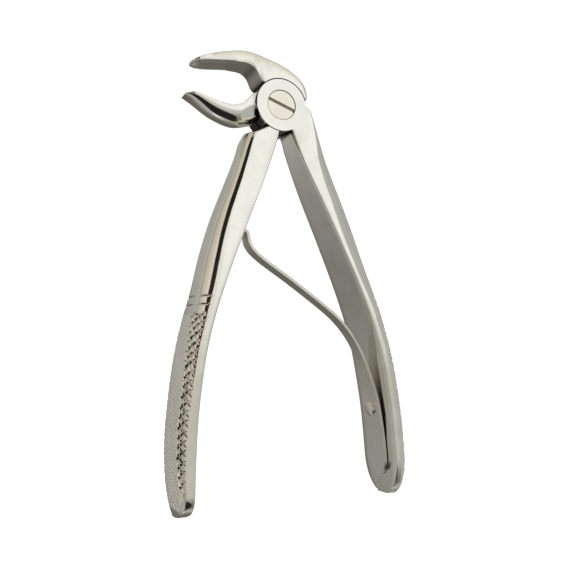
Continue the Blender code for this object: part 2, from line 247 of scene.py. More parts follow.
def joint_shadow(tree, place):
    """Painted shade: 1 on the lap joint's inner walls, less in the throat, and 0 elsewhere."""
    parts = add_node(tree, "ShaderNodeSeparateXYZ", [("Vector", place)]).outputs
    flat = add_node(tree, "ShaderNodeCombineXYZ", [("X", parts["X"]), ("Y", parts["Y"])]).outputs["Vector"]
    length = add_node(tree, "ShaderNodeVectorMath", operation="LENGTH")
    tree.links.new(flat, length.inputs[0])
    near = add_node(
        tree,
        "ShaderNodeMapRange",
        [("Value", length.outputs["Value"])],
        interpolation_type="SMOOTHSTEP",
        **{"From Min": PAINTED_SHADE_RADII[0] * MM, "From Max": PAINTED_SHADE_RADII[1] * MM},
    )
    start, full = [(FRONT - depth) * MM for depth in PAINTED_SHADE_DEPTHS]
    deep = add_node(
        tree,
        "ShaderNodeMapRange",
        [("Value", parts["Z"])],
        interpolation_type="SMOOTHSTEP",
        **{"From Min": start, "From Max": full},
    )
    throat = add_node(tree, "ShaderNodeVectorMath", operation="DISTANCE")
    tree.links.new(flat, throat.inputs[0])
    throat.inputs[1].default_value = Vector(THROAT) * MM
    outer, inner = [radius * MM for radius in THROAT_RADII]
    throat_near = add_node(
        tree,
        "ShaderNodeMapRange",
        [("Value", throat.outputs["Value"])],
        interpolation_type="SMOOTHSTEP",
        **{"From Min": outer, "From Max": inner, "To Max": THROAT_SHARE},
    )
    shade_area = add_node(tree, "ShaderNodeMath", operation="MAXIMUM")
    tree.links.new(near.outputs["Result"], shade_area.inputs[0])
    tree.links.new(throat_near.outputs["Result"], shade_area.inputs[1])
    both = add_node(tree, "ShaderNodeMath", operation="MULTIPLY")
    tree.links.new(shade_area.outputs[0], both.inputs[0])
    tree.links.new(deep.outputs["Result"], both.inputs[1])
    return both.outputs[0]


# Painted shade: these radii bound the darkened walls round the pivot.
print("polish stops between", PAINTED_SHADE_RADII, "mm from the pivot")

# %% [markdown]
# The steel recipe takes the size of its fine grain in millimetres along x, y and z. A
# grain that is longer one way than another reads as lines. Real polishing lines are finer
# than a hair; these are drawn coarser, so that they show at all.

# %% The steel recipe
WAVINESS_SIZE = 5.56
DARKER = 0.94
COLOUR_BAND = (0.35, 0.6)
# The next colour is the painted shade on the joint's walls and in the throat.
PAINTED_SHADE_COLOUR = "4a4640"
FINE_BUMP = 0.01


def steel(name, colour, roughness, wander, lines, grain, waviness=0.04, shadow=False):
    """A steel: colour, roughness and its wander, strength and size of its lines, waviness in mm."""
    material = bpy.data.materials.new(name)
    material.use_nodes = True
    tree = material.node_tree
    shader = tree.nodes["Principled BSDF"]
    shader.inputs["Metallic"].default_value = 1.0
    place = add_node(tree, "ShaderNodeTexCoord").outputs["Object"]
    per_metre = [1 / (size * MM) for size in grain]
    scaled = add_node(tree, "ShaderNodeMapping", [("Vector", place)], Scale=per_metre).outputs["Vector"]
    fine = add_node(tree, "ShaderNodeTexNoise", [("Vector", scaled)], Scale=1.0, Detail=4.0)
    broad_scale = 1 / (WAVINESS_SIZE * MM)
    broad = add_node(tree, "ShaderNodeTexNoise", [("Vector", place)], Scale=broad_scale, Detail=2.0)
    light = linear(colour)
    dark = [c * DARKER for c in light]
    ramp = add_node(tree, "ShaderNodeValToRGB", [("Fac", broad.outputs["Fac"])])
    ramp.color_ramp.elements[0].position = COLOUR_BAND[0]
    ramp.color_ramp.elements[0].color = dark + [1.0]
    ramp.color_ramp.elements[1].position = COLOUR_BAND[1]
    ramp.color_ramp.elements[1].color = light + [1.0]
    base = ramp.outputs["Color"]
    # Painted shade: the joint's walls and the throat are mixed towards a dark colour where shade falls.
    if shadow:
        mix = add_node(tree, "ShaderNodeMix", data_type="RGBA")
        tree.links.new(joint_shadow(tree, place), mix.inputs["Factor"])
        tree.links.new(base, mix.inputs[6])
        mix.inputs[7].default_value = linear(PAINTED_SHADE_COLOUR) + [1.0]
        base = mix.outputs[2]
    tree.links.new(base, shader.inputs["Base Color"])
    spread = add_node(
        tree,
        "ShaderNodeMapRange",
        [("Value", fine.outputs["Fac"])],
        **{"From Min": 0.3, "From Max": 0.7, "To Min": roughness, "To Max": roughness + wander},
    )
    tree.links.new(spread.outputs["Result"], shader.inputs["Roughness"])
    low = add_node(tree, "ShaderNodeBump", [("Height", broad.outputs["Fac"])], Distance=waviness * MM)
    high = add_node(
        tree,
        "ShaderNodeBump",
        [("Height", fine.outputs["Fac"]), ("Normal", low.outputs["Normal"])],
        Strength=lines,
        Distance=FINE_BUMP * MM,
    )
    tree.links.new(high.outputs["Normal"], shader.inputs["Normal"])
    return material


print("the waviness is about", WAVINESS_SIZE, "mm across")

# %% [markdown]
# The forgings are wheel-polished stainless steel, which the eye reads as a mirror. The
# screw is finely ground across, which makes its head satin. The spring is rolled strip,
# greyer and softer. The rivet was closed with a hammer, so it is bright but uneven.

# %% The four steels
# The forgings' steel carries painted shade in the joint and the throat.
POLISHED = steel("wheel_polished_stainless", "ebeae4", 0.07, 0.05, 0.25, (1.11, 1.11, 1.11), shadow=True)
SCREW_STEEL = steel("fine_ground_screw_steel", "ece8dd", 0.16, 0.10, 0.5, (2.5, 0.333, 2.5))
SPRING_STEEL = steel("rolled_spring_steel", "ebe9e4", 0.34, 0.05, 0.10, (1.11, 1.11, 5.0))
RIVET_STEEL = steel("hammered_rivet_steel", "f0eee8", 0.26, 0.10, 0.4, (1.43, 1.43, 1.43), waviness=0.1)
print("steels:", *(m.name for m in (POLISHED, SCREW_STEEL, SPRING_STEEL, RIVET_STEEL)))

# %% [markdown]
# ## One section for every forged limb
# Handles and beaks are D-shaped: a flat inner face, two flat sides and a bulged back. A
# section could be a plain ellipse, but the flat sides catch the light as clear bands.

# %% The bulged back
FINE_POINTS = 60


def back_curve(height, sides, low, high, apex, powers, count):
    """Evenly spaced (z, out) points round the bulged back, from the front side to the back side."""
    fine = []
    front_half = (high, sides[0], powers[0], range(FINE_POINTS))
    back_half = (low, sides[1], powers[1], range(FINE_POINTS, -1, -1))
    for limit, side, power, order in (front_half, back_half):
        for i in order:
            turn = math.pi / 2 * i / FINE_POINTS
            z = apex + (limit - apex) * math.cos(turn) ** (2 / power)
            fine.append(Vector((z, side + (height - side) * math.sin(turn) ** (2 / power))))
    walk = [0.0]
    for a, b in zip(fine, fine[1:]):
        walk.append(walk[-1] + (b - a).length)
    points, k = [], 0
    for i in range(count + 1):
        target = walk[-1] * i / count
        while k < len(walk) - 2 and walk[k + 1] < target:
            k += 1
        share = (target - walk[k]) / max(1e-9, walk[k + 1] - walk[k])
        points.append(fine[k].lerp(fine[k + 1], min(1.0, share)))
    return points, walk[-1]


def carve(points, length, cut):
    """Pushes (z, out) points inwards by cut(place along the curve, length)."""
    carved = []
    for i, point in enumerate(points):
        along = points[min(i + 1, len(points) - 1)] - points[max(i - 1, 0)]
        inward = Vector((-along.y, along.x)).normalized()
        carved.append(point + inward * cut(length * i / (len(points) - 1), length))
    return carved


sample, length = back_curve(5, (2, 2), 0, 8, 4, (2, 2), 40)
print("a back 8 mm wide and 3 mm high is", round(length, 1), "mm round")

# %% [markdown]
# The ring has small rounds where the inner face meets the sides, because polishing takes
# the sharpness off. The inner face may be hollowed like a spoon, and its edges notched.

# %% The whole section
INNER_POINTS = 8
ROUND_POINTS = 3


def d_ring(
    base, tip, sides, low, high, powers, back_points, lean=0.0, hollow=0.0, notch=0.0, edge=0.3, cut=None
):
    """A ring from base to tip in plan and from low to high, with its sides' flat depths."""
    base = Vector(base)
    reach = Vector(tip) - base
    height = reach.length
    out = reach / height
    middle, half = (low + high) / 2, (high - low) / 2
    edge = min(edge, half * 0.3, height * 0.2)
    sides = [min(max(side, edge * 1.2), height * 0.97) for side in sides]
    ring = []

    def put(z, distance):
        ring.append((base.x + out.x * distance, base.y + out.y * distance, z))

    for i in range(INNER_POINTS + 1):
        across = 2 * i / INNER_POINTS - 1
        put(middle + (half - edge) * across, hollow * (1 - across * across) + notch * abs(across) ** 6)
    for i in range(1, ROUND_POINTS + 1):
        turn = math.pi / 2 * i / ROUND_POINTS
        put(high - edge * (1 - math.sin(turn)), notch * (1 - 0.15 * i) + edge * (1 - math.cos(turn)))
    points, length = back_curve(height, sides, low, high, middle + lean, powers, back_points)
    if cut:
        points = carve(points, length, cut)
    for z, distance in points:
        put(z, distance)
    for i in range(ROUND_POINTS, 0, -1):
        turn = math.pi / 2 * i / ROUND_POINTS
        put(low + edge * (1 - math.sin(turn)), notch * (1 - 0.15 * i) + edge * (1 - math.cos(turn)))
    return ring


print("a plain section has", len(d_ring((0, 0), (5, 0), (2, 2), 0, 8, (2, 2), 40)), "points")

# %% [markdown]
# ## The handles
# Both handles follow one plan, mirrored about the line between them. The left handle's
# wide flat side faces up and the right handle's faces down, as on two equal forgings
# laid face to face. Each runs out in a round end. The tables give sizes in millimetres at
# distances down the handle from the pivot: where the inner face runs, how wide and thick
# the handle is, how deep its two flat sides are, and how round its back is and which way
# it leans.

# %% The plan of a handle
HANDLE_LENGTH = 106.9
HANDLE_OFFSET = 1.21
HANDLE_TURN = math.radians(1.65)
INNER_FACE = (
    (8, 1.9), (20, 6.75), (35, 13.3), (50, 19.5), (60, 22.98), (70, 25.45), (85, 27.5), (107, 28.7),
)
WIDTH = ((8, FRONT), (14, 10.1), (24, 12.3), (40, 14.2), (60, 16.3), (72, half_high.z - half_low.z))
LEFT_THICKNESS = ((12, 9.3), (30, 9.2), (41, 8.2), (51, 6.6), (62, 5.3), (75, 4.8), (92, 4.7), (107, 2.9))
RIGHT_THICKNESS = ((12, 9.3), (24, 9.1), (34, 8.5), (46, 7.2), (60, 6.1), (75, 5.5), (97, 5.3), (107, 4.2))
WIDE_SIDE = (
    (12, 6.4), (18, 6.0), (27, 5.3), (32, 4.75), (38, 3.9), (43, 2.9), (52, 1.7), (60, 2.0), (107, 2.05),
)
NARROW_SIDE = (
    (12, 5.0), (20, 3.2), (25, 2.4), (30, 1.7), (36, 1.1), (45, 0.9), (54, 1.3), (66, 2.05), (107, 2.05),
)
NEAR_BULGE = ((12, 2.0), (52, 2.0), (62, 1.7), (100, 1.7), (107, 2.4))
FAR_BULGE = ((12, 2.0), (40, 2.0), (52, 2.2), (62, 3.4), (107, 3.4))
LEFT_LEAN = ((12, 1.6), (20, 2.0), (44, 2.2), (58, 4.0), (66, 5.7), (98, 5.7), (107, 1.0))
RIGHT_LEAN = ((12, 1.6), (20, 2.0), (44, 2.0), (60, 0.5), (107, 0.0))
RIGHT_BULGE = (2.0, 2.4)
RIGHT_GRIP_SLIMMER = 0.6
OPEN_END_ROUND, SHUT_END_ROUND, END_POWER = 6.0, 11.0, 2.2
SMALLEST_END = 0.08


def handle_point(side, distance, out):
    """The plan point a distance down the left (-1) or right (1) handle, out from its inner face."""
    x = side * (smooth(INNER_FACE, distance) + out) + HANDLE_OFFSET
    return Vector((x, -distance)) @ Matrix.Rotation(-HANDLE_TURN, 2)


def end_share(distance, rounding):
    """The share of the width that the round end leaves."""
    past = max(0.0, (distance - HANDLE_LENGTH + rounding) / rounding)
    return max(SMALLEST_END, 1 - past**END_POWER) ** (1 / END_POWER)


def handle_ring(side, distance, back_points, cut=None):
    """The section of one handle at a distance from the pivot."""
    half = smooth(WIDTH, distance) / 2
    wide, narrow = smooth(WIDE_SIDE, distance), smooth(NARROW_SIDE, distance)
    narrow -= RIGHT_GRIP_SLIMMER * ease(54, 64, distance) if side > 0 else 0
    shut_half = half * end_share(distance, SHUT_END_ROUND)
    open_half = half * end_share(distance, OPEN_END_ROUND) if side < 0 else shut_half
    thickness = smooth(LEFT_THICKNESS if side < 0 else RIGHT_THICKNESS, distance)
    base, tip = handle_point(side, distance, 0), handle_point(side, distance, thickness)
    sides = (wide, narrow) if side < 0 else (narrow, wide)
    low, high = MIDDLE - shut_half, MIDDLE + open_half
    lean = smooth(LEFT_LEAN, distance) if side < 0 else -smooth(RIGHT_LEAN, distance)
    left_powers = (smooth(NEAR_BULGE, distance), smooth(FAR_BULGE, distance))
    powers = left_powers if side < 0 else RIGHT_BULGE
    return d_ring(base, tip, sides, low, high, powers, back_points, lean, cut=cut)


end_gap = handle_point(1, HANDLE_LENGTH, 0) - handle_point(-1, HANDLE_LENGTH, 0)
print("the handles' ends are", round(end_gap.length, 1), "mm apart inside")

# %% [markdown]
# ## The knurl
# The grips are cut by hand with two crossing sets of grooves, after two rings that mark
# where the grip begins. The cutter runs over the bulged back and lifts off before the
# flat sides. Here each point of the grip's skin is pushed in by the depth of the nearest
# groove, so the diamonds are real shapes that catch the light.

# %% The knurl's depth
GRIP_START, GRIP_END = 56.5, 105.5
GROOVE_PITCH = 2.4
GROOVE_DEPTH = 0.5
GROOVE_SLOPE = 0.95
GROOVE_SETS = ((1.3, 0.0), (-0.9, 40.0))
PITCH_UNEVEN, DEPTH_UNEVEN = 0.10, 0.25
RING_GROOVES = (52.6, 54.7)
RING_DEPTH = 0.30
RUN_OUT = 2.4


def wobble(seed):
    """A small fixed unevenness, as a hand leaves it."""
    return math.sin(seed * 12.9898) * 0.5 + math.sin(seed * 4.1414 + 1.3) * 0.5


def off_groove(place, pitch, seed):
    """The distance from a place to the nearest groove of a set, in mm."""
    line = round(place / pitch)
    return abs(place - pitch * (line + PITCH_UNEVEN * wobble(line + seed)))


def knurl_depth(distance, across, edge_distance):
    """How deep the skin is cut at a place along the handle and across its back, in mm."""
    depth = 0.0
    run_out = ease(0.0, RUN_OUT, edge_distance)
    for ring in RING_GROOVES:
        depth = max(depth, RING_DEPTH * run_out - GROOVE_SLOPE * abs(distance - ring))
    fade = ease(GRIP_START - 0.3, GRIP_START + 1.0, distance) * (1 - ease(GRIP_END - 1.5, GRIP_END, distance))
    for slope, seed in GROOVE_SETS:
        lean = math.sqrt(1 + slope * slope)
        place = distance + across * slope
        off = off_groove(place, GROOVE_PITCH, seed) / lean
        deep = GROOVE_DEPTH * (1 + DEPTH_UNEVEN * wobble(round(place / GROOVE_PITCH) + seed + 7))
        depth = max(depth, deep * run_out * fade - GROOVE_SLOPE * off)
    return depth


print("grooves", GROOVE_DEPTH, "mm deep, one every", GROOVE_PITCH, "mm along the handle")

# %% [markdown]
# The sections stand a millimetre apart where the handle is plain. Where it is cut they
# stand close enough to give each groove several, and at the round end they crowd together.

# %% The sections of a handle
BACK_POINTS = 150
PLAIN_FROM, PLAIN_STEP = 14, 1.0
CUT_FROM, CUT_STEP = 51.6, 0.13
END_FROM, END_STEPS = 105.4, 24


def handle_stations():
    """Distances down the handle: wide apart where it is plain, close where it is cut."""
    plain_count = math.ceil((CUT_FROM - PLAIN_FROM) / PLAIN_STEP)
    places = [PLAIN_FROM + PLAIN_STEP * i for i in range(plain_count)]
    places += [CUT_FROM + CUT_STEP * i for i in range(int((END_FROM - CUT_FROM) / CUT_STEP))]
    rest = HANDLE_LENGTH - 0.03 - END_FROM
    places += [END_FROM + rest * math.sin(math.pi / 2 * i / END_STEPS) for i in range(END_STEPS + 1)]
    return sorted(places)


def handle_rings(side):
    """All sections of one handle, with the knurl cut into the grip's."""
    rings = []
    for distance in handle_stations():

        def cut(place, length):
            return knurl_depth(distance, place - length / 2, min(place, length - place))

        gripped = RING_GROOVES[0] - 1 < distance < GRIP_END
        rings.append(handle_ring(side, distance, BACK_POINTS, cut if gripped else None))
    return rings


print("a handle has", len(handle_stations()), "sections")

# %% [markdown]
# ## The beaks
# The beaks curve out sideways and end in narrow rounded tips. Each is set down as a few
# stations across it. Many finer sections follow soft curves through the stations, and
# running means take out the last unevenness, as the polishing wheel does.

# %% From stations to soft sections
BEAK_BACK_POINTS = 40
SHORTEST_WALK = 0.4
BEAK_EDGE = 0.12


def soften(values, reach):
    """Each value as the mean of its neighbours on both sides, the ends kept."""
    softened = []
    for i in range(len(values)):
        span = min(reach, i, len(values) - 1 - i)
        near = values[i - span : i + span + 1]
        softened.append(sum(near) / len(near))
    return softened


def soft_rings(stations, steps, bite, reach):
    """Soft rings through (base, tip, back inset, front inset, side share) stations."""
    walk = [0.0]
    for a, b in zip(stations, stations[1:]):
        middle_a = (Vector(a[0]) + Vector(a[1])) / 2
        middle_b = (Vector(b[0]) + Vector(b[1])) / 2
        walk.append(walk[-1] + max(SHORTEST_WALK, (middle_b - middle_a).length))
    rows = [[*s[0], *s[1], *s[2:]] for s in stations]
    columns = []
    for k in range(len(rows[0])):
        table = [(w, row[k]) for w, row in zip(walk, rows)]
        values = [smooth(table, walk[-1] * i / steps) for i in range(steps + 1)]
        columns.append(soften(soften(values, reach), reach))
    rings = []
    for bx, by, tx, ty, back_inset, front_inset, share in zip(*columns):
        height = math.hypot(tx - bx, ty - by)
        hollow, notch = bite(bx)
        sides = (height * share, height * share)
        low, high = back_inset, FRONT - front_inset
        ring = d_ring(
            (bx, by), (tx, ty), sides, low, high, (2.0, 2.0), BEAK_BACK_POINTS, 0, hollow, notch, BEAK_EDGE
        )
        rings.append(ring)
    return rings


print("beak edges are rounded by", BEAK_EDGE, "mm")

# %% [markdown]
# The gripping faces are hollowed like a spoon, and both long edges of each are filed into
# fine teeth, so that they hold a tooth without slipping.

# %% The teeth and the hollow
TOOTH_PITCH = 0.58
TOOTH_DEPTH = 0.5
UPPER_TEETH_FROM, LOWER_TEETH_FROM = -24.9, -26.2
TEETH_TO = -12.5
HOLLOW_DEPTH = 0.7
HOLLOW_FROM, HOLLOW_FULL = -9.0, -15.0
HOLLOW_RUN_OUT = 3.0


def bite(tip_x):
    """The hollow and the tooth notch at a place along a beak that ends at tip_x."""

    def at(x):
        hollow = HOLLOW_DEPTH * ease(HOLLOW_FROM, HOLLOW_FULL, x) * ease(tip_x, tip_x + HOLLOW_RUN_OUT, x)
        wave = abs(2 * ((x / TOOTH_PITCH) % 1) - 1)
        notch = TOOTH_DEPTH * wave * (1 - ease(TEETH_TO - 1.0, TEETH_TO, x))
        return hollow, notch

    return at


print("about", round((TEETH_TO - UPPER_TEETH_FROM) / TOOTH_PITCH), "teeth on each edge of the upper beak")

# %% [markdown]
# The upper beak reaches round the boss of the other half as a hook, which narrows to a
# rounded end. Its stations are given as an angle about the pivot and a wall outside the
# boss. The other stations are (base, tip, back inset, front inset, share of flat side).

# %% The stations of the beaks
BOSS_RADIUS = 7.2
HOOK_OVERLAP = 0.5
HOOK_ROUNDING = 1.3


def hook_station(angle, wall):
    """A station across the hook that runs over the joint's boss."""
    direction = Vector((math.cos(math.radians(angle)), math.sin(math.radians(angle))))
    height = wall + HOOK_OVERLAP
    base, tip = direction * (BOSS_RADIUS - HOOK_OVERLAP), direction * (BOSS_RADIUS + wall)
    return (base, tip, 0.0, 0.0, (height - HOOK_ROUNDING) / height)


HOOK_WALLS = (
    (19, 1.5), (22, 2.1), (28, 2.6), (38, 3.0), (50, 3.45), (62, 3.7), (74, 4.05), (86, 4.7), (98, 5.6),
)
HOOK = [hook_station(angle, wall) for angle, wall in HOOK_WALLS]
UPPER_BEAK = [
    ((-5.3, 5.2), (-4.9, 13.5), 0.0, 0.0, 0.84),
    ((-6.0, 6.4), (-6.3, 13.75), 0.1, 0.0, 0.84),
    ((-6.5, 7.8), (-7.5, 13.95), 0.3, 0.05, 0.84),
    ((-7.2, 9.0), (-8.7, 14.1), 0.6, 0.1, 0.83),
    ((-8.3, 9.8), (-10.0, 14.15), 0.9, 0.15, 0.82),
    ((-9.6, 10.2), (-11.4, 14.1), 1.1, 0.2, 0.80),
    ((-11.2, 10.25), (-12.8, 13.9), 1.2, 0.25, 0.78),
    ((-13.2, 10.15), (-14.5, 13.5), 1.2, 0.3, 0.76),
    ((-16.0, 9.85), (-17.0, 12.9), 1.0, 0.35, 0.74),
    ((-18.85, 9.5), (-19.6, 12.0), 0.9, 0.35, 0.72),
    ((-21.3, 9.15), (-21.9, 11.05), 1.1, 0.4, 0.70),
    ((-23.1, 8.85), (-23.5, 10.2), 1.9, 0.5, 0.66),
    ((-24.4, 8.55), (-24.7, 9.5), 3.2, 0.9, 0.6),
    ((-24.95, 8.4), (-25.1, 8.95), 4.6, 1.8, 0.55),
]
LOWER_BEAK = [
    ((-5.6, 2.9), (-5.6, -4.4), 0.0, 0.7, 0.40),
    ((-6.6, 2.9), (-6.4, -5.0), 0.0, 0.7, 0.36),
    ((-7.6, 2.6), (-8.0, -5.7), 0.05, 0.6, 0.32),
    ((-8.6, 1.7), (-9.4, -6.1), 0.1, 0.5, 0.30),
    ((-10.0, 0.0), (-10.8, -6.5), 0.2, 0.4, 0.28),
    ((-11.7, -1.3), (-12.6, -6.75), 0.3, 0.4, 0.27),
    ((-14.6, -1.5), (-15.4, -6.2), 0.5, 0.45, 0.28),
    ((-18.7, -0.8), (-19.6, -4.6), 0.8, 0.55, 0.28),
    ((-22.9, 0.4), (-23.7, -1.9), 1.2, 0.75, 0.28),
    ((-25.0, 0.6), (-25.6, -0.8), 1.8, 1.0, 0.30),
    ((-26.3, 0.25), (-26.7, -0.35), 2.8, 2.0, 0.30),
]
print("upper beak", len(HOOK + UPPER_BEAK), "stations, lower beak", len(LOWER_BEAK), "stations")

# %% [markdown]
# The handles' roots run up to the joint. They are as thick as the joint there, and flare
# a little as they become the handles.

# %% The roots of the handles
ROOT_LEAN = 1.4
ROOT_ROUND_SHARE = 0.35


def root_ring(side, base, tip, flare, round_over):
    """A ring of a handle root, as thick as the joint plus its flare on each face."""
    height = (Vector(tip) - Vector(base)).length
    depth = min(round_over, height * ROOT_ROUND_SHARE)
    low, high = -flare, FRONT + flare
    sides = (height - depth, height - depth)
    return d_ring(base, tip, sides, low, high, (2.0, 2.0), BACK_POINTS, -side * ROOT_LEAN)


LEFT_ROOT = [
    root_ring(-1, (-0.45, -6.7), (-3.9, -6.0), 0, 2.0),
    root_ring(-1, (-0.85, -8.6), (-9.7, -8.7), 0.05, 2.6),
    root_ring(-1, (-1.4, -10.4), (-11.0, -11.2), 0.3, 3.0),
]
RIGHT_ROOT = [
    root_ring(1, (2.9, -5.9), (7.9, 1.45), 0, 1.2),
    root_ring(1, (3.4, -7.0), (9.7, 0.1), 0, 1.4),
    root_ring(1, (4.0, -8.8), (11.6, -4.3), 0.05, 2.2),
    root_ring(1, (4.6, -10.6), (13.2, -8.6), 0.3, 3.2),
]
print("root sections:", len(LEFT_ROOT), "left and", len(RIGHT_ROOT), "right")

# %% [markdown]
# ## The lap joint
# Each half keeps only its own layer at the joint: a round boss, half as thick as the
# joint, that turns in a round clearance in the other half. The front boss is bored for
# the screw head. Both bosses are plain discs, flat and sharp at the rim, as milled.

# %% The lap joint
CUT_RADIUS = 7.5
LAYER_GAP = 0.3
HEAD_RADIUS = screw_high.x
SHANK_RADIUS = 2.4
SHANK_HOLE = SHANK_RADIUS + 0.05
HEAD_BORE = HEAD_RADIUS + 0.1
HEAD_SEAT = screw_high.z - 2.1
REAR_BOSS = BOSS_RADIUS + 0.2
BEYOND = 30


def disc(name, radius, bottom, top):
    """A plain turned disc on the pivot axis."""
    return turned(name, [(0, top), (radius, top), (radius, bottom), (0, bottom)])


print("boss", BOSS_RADIUS, "mm, clearance", CUT_RADIUS, "mm, screw head", round(HEAD_RADIUS, 2), "mm")

# %% [markdown]
# ## The two halves
# Each half is forged in one piece: a handle with its root, and a beak. The joint is
# milled afterwards, so it is cut here last: the clearance, the boss, then the bores.

# %% The rear half
UPPER_SECTIONS, UPPER_SOFTENING = 460, 16


def rear_half():
    """The left handle, the upper beak and the rear layer of the joint."""
    half = loft("rear_half_forging", LEFT_ROOT + handle_rings(-1))
    stations = HOOK + UPPER_BEAK
    beak = loft("upper_beak", soft_rings(stations, UPPER_SECTIONS, bite(UPPER_TEETH_FROM), UPPER_SOFTENING))
    combine(half, beak, "UNION")
    combine(half, disc("cut", CUT_RADIUS, MIDDLE - LAYER_GAP / 2, BEYOND), "DIFFERENCE")
    combine(half, disc("boss", REAR_BOSS, 0, MIDDLE - LAYER_GAP / 2), "UNION")
    combine(half, disc("hole", SHANK_HOLE, -BEYOND, BEYOND), "DIFFERENCE")
    return half


rear = finish_piece(rear_half(), POLISHED, "rear")
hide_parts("rear_half")

# %% The front half
LOWER_SECTIONS, LOWER_SOFTENING = 300, 14


def front_half():
    """The right handle, the lower beak and the front layer of the joint."""
    half = loft("front_half_forging", RIGHT_ROOT + handle_rings(1))
    beak = loft("lower_beak", soft_rings(LOWER_BEAK, LOWER_SECTIONS, bite(LOWER_TEETH_FROM), LOWER_SOFTENING))
    combine(half, beak, "UNION")
    combine(half, disc("cut", CUT_RADIUS, -BEYOND, MIDDLE + LAYER_GAP / 2), "DIFFERENCE")
    combine(half, disc("boss", BOSS_RADIUS, MIDDLE + LAYER_GAP / 2, FRONT), "UNION")
    combine(half, disc("hole", SHANK_HOLE, -BEYOND, BEYOND), "DIFFERENCE")
    combine(half, disc("bore", HEAD_BORE, HEAD_SEAT, BEYOND), "DIFFERENCE")
    return half


front = finish_piece(front_half(), POLISHED, "front")
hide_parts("front_half")

# %% [markdown]
# ## The pivot screw
# A flat cheese head with one saw-cut slot, sunk a hair below the boss. It is turned from
# a profile, and the slot is cut with a thin block.

# %% The pivot screw
SLOT_WIDTH, SLOT_DEPTH, SLOT_ANGLE = 1.1, 0.9, math.radians(-19)
HEAD_DEPTH = 1.8
HEAD_CHAMFER = (0.14, 0.12)
TIP_CHAMFER = 0.1


def pivot_screw():
    """The screw, turned from its profile and slotted."""
    top = screw_high.z
    profile = [(0, top), (HEAD_RADIUS - HEAD_CHAMFER[0], top), (HEAD_RADIUS, top - HEAD_CHAMFER[1])]
    profile += [(HEAD_RADIUS, top - HEAD_DEPTH), (SHANK_RADIUS, top - HEAD_DEPTH)]
    profile += [(SHANK_RADIUS, TIP_CHAMFER), (SHANK_RADIUS - TIP_CHAMFER, 0), (0, 0)]
    screw = turned("slotted_screw", profile)
    bm = bmesh.new()
    bmesh.ops.create_cube(bm, size=1)
    bmesh.ops.scale(bm, verts=bm.verts, vec=(3 * HEAD_RADIUS, SLOT_WIDTH, 2 * SLOT_DEPTH))
    bmesh.ops.rotate(bm, verts=bm.verts, cent=(0, 0, 0), matrix=Matrix.Rotation(SLOT_ANGLE, 3, "Z"))
    bmesh.ops.translate(bm, verts=bm.verts, vec=(0, 0, top))
    combine(screw, raw_object("slot", bm), "DIFFERENCE")
    return screw


screw = finish_piece(pivot_screw(), SCREW_STEEL, "rear")
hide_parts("pivot_screw")

# %% [markdown]
# ## The leaf spring
# One strip of spring steel, wide where it is riveted on and narrow on its way across to
# the other handle, where its end curls over. The real strip bends as the handles close;
# here it stands still and rides on neither body.

# %% The spring's line
SPRING_THICKNESS = 0.9
SPRING_POINTS = (
    (31.95, -100.9), (31.2, -91.5), (30.25, -85.0), (29.3, -79.0), (28.0, -74.0), (26.6, -69.6),
    (25.0, -66.2), (22.6, -62.4), (19.4, -58.7), (15.6, -55.5), (4.6, -47.9), (-3.4, -42.8),
    (-6.6, -40.3), (-8.1, -38.2), (-8.5, -36.4), (-8.8, -35.4), (-9.4, -34.85), (-10.1, -34.75),
)


def spring_plan():
    """The line's x and y as tables over the distance walked along it, and its length."""
    walk, xs, ys = 0.0, [], []
    previous = Vector(SPRING_POINTS[0])
    for point in SPRING_POINTS:
        walk += (Vector(point) - previous).length
        previous = Vector(point)
        xs.append((walk, point[0]))
        ys.append((walk, point[1]))
    return xs, ys, walk


SPRING_X, SPRING_Y, SPRING_LENGTH = spring_plan()


def spring_point(distance):
    """The plan point at a distance along the strip."""
    return Vector((smooth(SPRING_X, distance), smooth(SPRING_Y, distance)))


def spring_normal(distance):
    """The direction square to the strip, towards the inside of the forceps."""
    along = spring_point(distance + 0.2) - spring_point(distance - 0.2)
    return Vector((-along.y, along.x)).normalized()


print("the strip is", round(SPRING_LENGTH, 1), "mm long")

# %% The leaf spring
SEAT_WIDTH, ARM_WIDTH = 8.4, 4.2
TAPER_FROM, TAPER_TO = 15, 38
SPRING_STEPS = 300
SPRING_BEVEL = 0.12


def leaf_spring():
    """The strip, with a round root and its edges broken by a small bevel."""
    rings = []
    for i in range(SPRING_STEPS + 1):
        distance = SPRING_LENGTH * i / SPRING_STEPS
        half = (SEAT_WIDTH + (ARM_WIDTH - SEAT_WIDTH) * ease(TAPER_FROM, TAPER_TO, distance)) / 2
        if distance < half:
            half *= math.sqrt(max(0.02, 1 - (1 - distance / half) ** 2))
        place, normal = spring_point(distance), spring_normal(distance)
        bevel = min(SPRING_BEVEL, half * 0.4)
        thick = SPRING_THICKNESS / 2
        outline = [(thick, half - bevel), (thick - bevel, half)]
        outline += [(bevel - thick, half), (-thick, half - bevel)]
        outline += [(a, -b) for a, b in reversed(outline)]
        rings.append([(*(place + normal * a), MIDDLE + b) for a, b in outline])
    return loft("leaf_spring", rings)


spring = finish_piece(leaf_spring(), SPRING_STEEL, None)
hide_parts("spring_seat", "spring_arm")
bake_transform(spring)

# %% [markdown]
# ## The rivet
# Its head was closed with a hammer, so the dome is low and a little flat on top.

# %% The rivet
RIVET_PLACE = 18.4
RIVET_RISE = 0.95
RIVET_SHANK = (1.2, 3.2)
RIVET_UNDERSIDE = 0.06
RIVET_LIFT = 0.07
DOME_STEPS = 12


